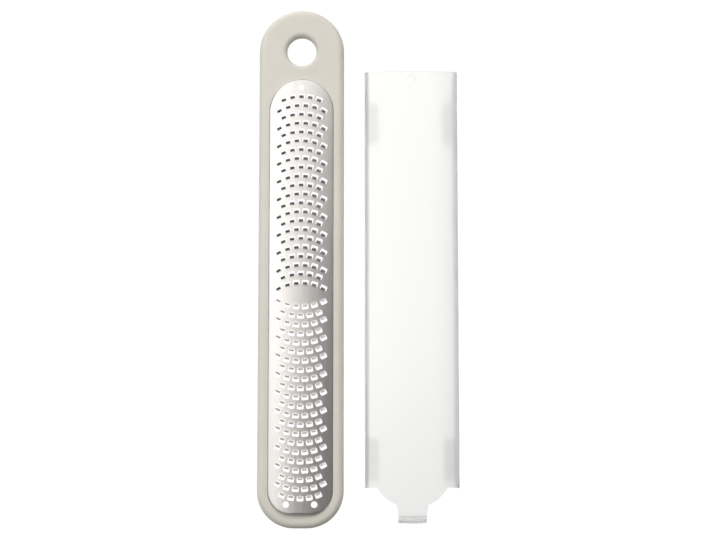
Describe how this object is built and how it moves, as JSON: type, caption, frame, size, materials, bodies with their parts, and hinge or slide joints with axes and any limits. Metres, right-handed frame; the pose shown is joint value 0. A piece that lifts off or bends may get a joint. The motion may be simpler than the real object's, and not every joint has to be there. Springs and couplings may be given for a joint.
{
  "type": "hand_grater",
  "caption": "Long flat hand grater: an arched stamped-steel blade moulded into a plastic frame with a hanging hole, and a translucent slide-on cover laid beside it",
  "frame": {"origin": "on the table under the middle of the box that holds the grater and its cover", "axes": "+Z out of the cutting face, +Y along the grater toward the hanging hole, +X from the grater to the cover"},
  "size_m": [0.0954, 0.25, 0.0148],
  "materials": {
    "frame_plastic": "satin, light beige-grey",
    "blade_steel": "satin stainless sheet",
    "cover_plastic": "frosted translucent"
  },
  "bodies": {
    "grater_body": {"frame": "frame_plastic", "blade": "blade_steel"},
    "cover_body": {"cover": "cover_plastic"}
  },
  "joints": [
    {"name": "cover_slide", "type": "slide", "parent": "grater_body", "child": "cover_body", "axis": [0, -1, 0], "range_m": [0, 0.214]}
  ]
}
